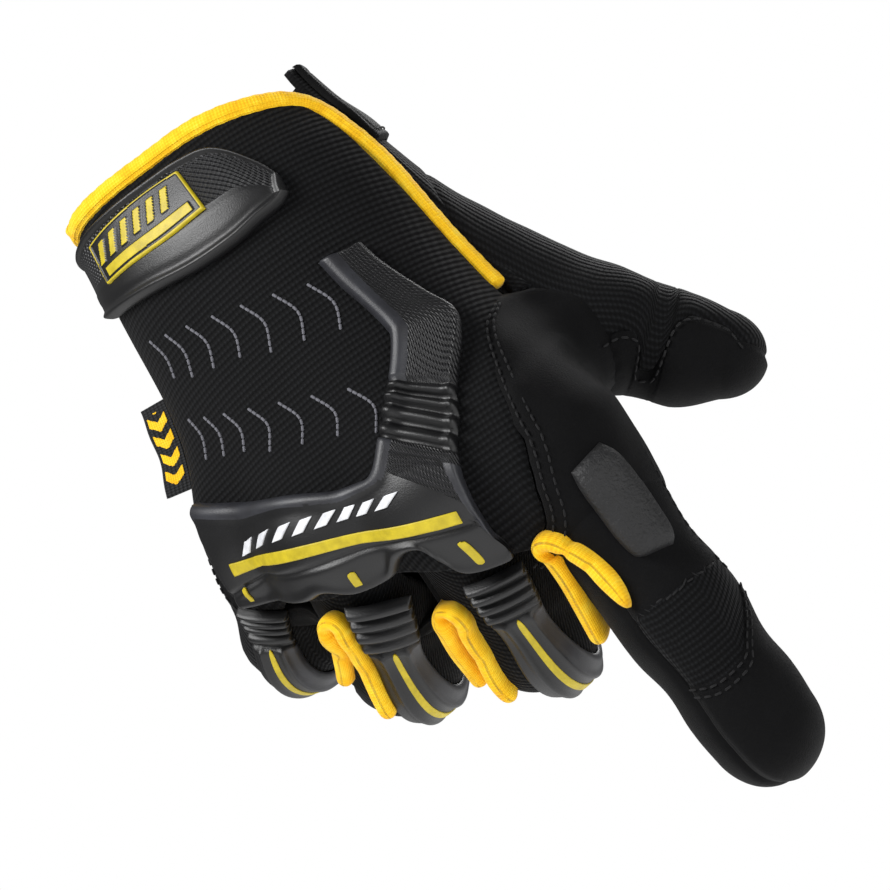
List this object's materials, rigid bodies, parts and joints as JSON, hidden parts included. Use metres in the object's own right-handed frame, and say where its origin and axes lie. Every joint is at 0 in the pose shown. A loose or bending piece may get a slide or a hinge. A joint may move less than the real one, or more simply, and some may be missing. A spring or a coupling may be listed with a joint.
{
  "type": "work glove",
  "caption": "Right-hand black and yellow impact work glove in its worn shape, pointing, with rubber knuckle and finger guards, wrist strap and yellow cuff binding",
  "frame": {"origin": "centre of the wrist opening, at the level of the cuff rim", "axes": "+Z out of the wrist opening towards the forearm; -Y out of the back of the hand; +X to the thumb side"},
  "size_m": [0.1435, 0.085, 0.2073],
  "materials": {
    "knit": "ribbed stretch knit",
    "synthetic_leather": "fine suede nap",
    "rubber": "satin moulded",
    "grey_rubber": "satin moulded",
    "yellow_cloth": "matte stretch cloth",
    "yellow_print": "satin print",
    "webbing": "woven"
  },
  "bodies": {
    "root": {"back_panel": "knit", "thumb_side_panel": "knit", "index_window": "knit", "middle_back": "knit", "ring_back": "knit", "little_back": "knit", "thumb_back": "knit", "index_yoke": "synthetic_leather", "palm_panel": "synthetic_leather", "cuff_flap": "synthetic_leather", "index_back": "synthetic_leather", "index_tip": "synthetic_leather", "index_palm": "synthetic_leather", "middle_palm": "synthetic_leather", "ring_palm": "synthetic_leather", "little_palm": "synthetic_leather", "thumb_grip": "synthetic_leather", "closure_strap": "rubber", "knuckle_guard": "rubber", "middle_guard": "rubber", "ring_guard": "rubber", "little_guard": "rubber", "index_pad": "grey_rubber", "cuff_binding": "yellow_cloth", "index_middle_fourchette": "yellow_cloth", "middle_ring_fourchette": "yellow_cloth", "ring_little_fourchette": "yellow_cloth", "strap_badge": "yellow_print", "knuckle_stripe": "yellow_print", "middle_dash": "yellow_print", "ring_dash": "yellow_print", "little_dash": "yellow_print", "middle_line": "yellow_print", "ring_line": "yellow_print", "little_line": "yellow_print", "strap_anchor": "webbing", "side_tag": "webbing"}
  },
  "joints": []
}
